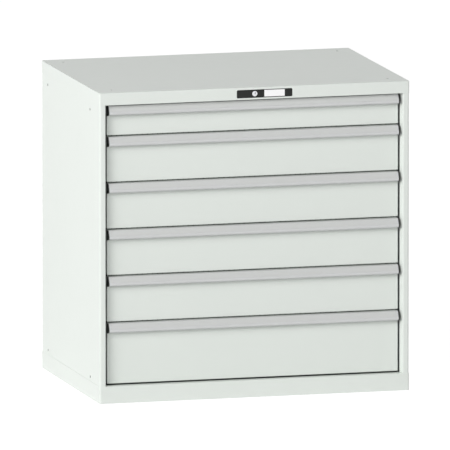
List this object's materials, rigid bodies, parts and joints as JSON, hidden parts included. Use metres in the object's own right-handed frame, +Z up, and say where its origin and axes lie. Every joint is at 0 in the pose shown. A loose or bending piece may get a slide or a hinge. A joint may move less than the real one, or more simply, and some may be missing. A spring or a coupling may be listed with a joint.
{
  "type": "workshop drawer cabinet",
  "caption": "Free-standing sheet-metal cabinet with full-width drawers on telescopic slides, grip strips, a lock in the top cover and a plinth.",
  "frame": {"origin": "middle of the underside of the base, on the floor", "axes": "+Z up; the drawer fronts face -Y and the drawers open towards -Y; +X is to the right when seen from the front"},
  "size_m": [1.023, 0.725, 1],
  "materials": {
    "housing_paint": "satin light grey powder coat",
    "front_paint": "satin light grey powder coat",
    "tray_paint": "satin light grey powder coat",
    "grip_aluminium": "matt anodised",
    "black_plastic": "fine grained black",
    "label_strip": "plain paper strip under a clear film",
    "card": "blank white card",
    "lock_chrome": "polished nickel",
    "zinc_steel": "bright zinc plated"
  },
  "bodies": {
    "housing": {"base_frame": "housing_paint", "side_left": "housing_paint", "side_right": "housing_paint", "back_panel": "housing_paint", "top_cover": "housing_paint", "upright_front_left": "zinc_steel", "upright_front_right": "zinc_steel", "upright_rear_left": "zinc_steel", "upright_rear_right": "zinc_steel", "lock_plate": "black_plastic", "lock_card": "card", "lock_brackets": "zinc_steel", "housing_screws": "zinc_steel", "drawer_1_runners": "zinc_steel", "drawer_2_runners": "zinc_steel", "drawer_3_runners": "zinc_steel", "drawer_4_runners": "zinc_steel", "drawer_5_runners": "zinc_steel", "drawer_6_runners": "zinc_steel"},
    "lock_key_core": {"lock_core": "lock_chrome", "lock_cam": "zinc_steel"},
    "lock_cross_bar": {"cross_bar": "zinc_steel"},
    "lock_crank": {"bell_crank": "zinc_steel"},
    "lock_hook_bar": {"lock_bar": "zinc_steel"},
    "drawer_1": {"drawer_1_tray": "tray_paint", "drawer_1_front": "front_paint", "drawer_1_grip": "grip_aluminium", "drawer_1_caps": "black_plastic", "drawer_1_label": "label_strip"},
    "carriage_1": {"drawer_1_carriages": "zinc_steel"},
    "drawer_2": {"drawer_2_tray": "tray_paint", "drawer_2_front": "front_paint", "drawer_2_grip": "grip_aluminium", "drawer_2_caps": "black_plastic", "drawer_2_label": "label_strip"},
    "carriage_2": {"drawer_2_carriages": "zinc_steel"},
    "drawer_3": {"drawer_3_tray": "tray_paint", "drawer_3_front": "front_paint", "drawer_3_grip": "grip_aluminium", "drawer_3_caps": "black_plastic", "drawer_3_label": "label_strip"},
    "carriage_3": {"drawer_3_carriages": "zinc_steel"},
    "drawer_4": {"drawer_4_tray": "tray_paint", "drawer_4_front": "front_paint", "drawer_4_grip": "grip_aluminium", "drawer_4_caps": "black_plastic", "drawer_4_label": "label_strip"},
    "carriage_4": {"drawer_4_carriages": "zinc_steel"},
    "drawer_5": {"drawer_5_tray": "tray_paint", "drawer_5_front": "front_paint", "drawer_5_grip": "grip_aluminium", "drawer_5_caps": "black_plastic", "drawer_5_label": "label_strip"},
    "carriage_5": {"drawer_5_carriages": "zinc_steel"},
    "drawer_6": {"drawer_6_tray": "tray_paint", "drawer_6_front": "front_paint", "drawer_6_grip": "grip_aluminium", "drawer_6_caps": "black_plastic", "drawer_6_label": "label_strip"},
    "carriage_6": {"drawer_6_carriages": "zinc_steel"}
  },
  "joints": [
    {"name": "drawer_1_slide", "type": "slide", "parent": "housing", "child": "drawer_1", "axis": [0, -1, 0], "range_m": [0, 0.64]},
    {"name": "carriage_1_slide", "type": "slide", "parent": "housing", "child": "carriage_1", "axis": [0, -1, 0], "range_m": [0, 0.32]},
    {"name": "drawer_2_slide", "type": "slide", "parent": "housing", "child": "drawer_2", "axis": [0, -1, 0], "range_m": [0, 0.64]},
    {"name": "carriage_2_slide", "type": "slide", "parent": "housing", "child": "carriage_2", "axis": [0, -1, 0], "range_m": [0, 0.32]},
    {"name": "drawer_3_slide", "type": "slide", "parent": "housing", "child": "drawer_3", "axis": [0, -1, 0], "range_m": [0, 0.64]},
    {"name": "carriage_3_slide", "type": "slide", "parent": "housing", "child": "carriage_3", "axis": [0, -1, 0], "range_m": [0, 0.32]},
    {"name": "drawer_4_slide", "type": "slide", "parent": "housing", "child": "drawer_4", "axis": [0, -1, 0], "range_m": [0, 0.64]},
    {"name": "carriage_4_slide", "type": "slide", "parent": "housing", "child": "carriage_4", "axis": [0, -1, 0], "range_m": [0, 0.32]},
    {"name": "drawer_5_slide", "type": "slide", "parent": "housing", "child": "drawer_5", "axis": [0, -1, 0], "range_m": [0, 0.64]},
    {"name": "carriage_5_slide", "type": "slide", "parent": "housing", "child": "carriage_5", "axis": [0, -1, 0], "range_m": [0, 0.32]},
    {"name": "drawer_6_slide", "type": "slide", "parent": "housing", "child": "drawer_6", "axis": [0, -1, 0], "range_m": [0, 0.64]},
    {"name": "carriage_6_slide", "type": "slide", "parent": "housing", "child": "carriage_6", "axis": [0, -1, 0], "range_m": [0, 0.32]},
    {"name": "lock_turn", "type": "hinge", "parent": "housing", "child": "lock_key_core", "pos_m": [0, -0.3225, 0.9785], "axis": [0, -1, 0], "range_deg": [0, 90]},
    {"name": "cross_bar_slide", "type": "slide", "parent": "housing", "child": "lock_cross_bar", "axis": [-1, 0, 0], "range_m": [0, 0.012]},
    {"name": "crank_turn", "type": "hinge", "parent": "housing", "child": "lock_crank", "pos_m": [0.47383, -0.267, 0.96416], "axis": [0, -1, 0], "range_deg": [0, 31.66]},
    {"name": "hook_bar_slide", "type": "slide", "parent": "housing", "child": "lock_hook_bar", "axis": [0, 0, 1], "range_m": [0, 0.012]}
  ],
  "couplings": [
    {"joint": "carriage_1_slide", "follows": "drawer_1_slide", "ratio": 0.5},
    {"joint": "carriage_2_slide", "follows": "drawer_2_slide", "ratio": 0.5},
    {"joint": "carriage_3_slide", "follows": "drawer_3_slide", "ratio": 0.5},
    {"joint": "carriage_4_slide", "follows": "drawer_4_slide", "ratio": 0.5},
    {"joint": "carriage_5_slide", "follows": "drawer_5_slide", "ratio": 0.5},
    {"joint": "carriage_6_slide", "follows": "drawer_6_slide", "ratio": 0.5},
    {"joint": "lock_turn", "follows": "hook_bar_slide", "rad_per_m": 130.9},
    {"joint": "cross_bar_slide", "follows": "hook_bar_slide", "ratio": 1},
    {"joint": "crank_turn", "follows": "hook_bar_slide", "rad_per_m": 46.037}
  ]
}
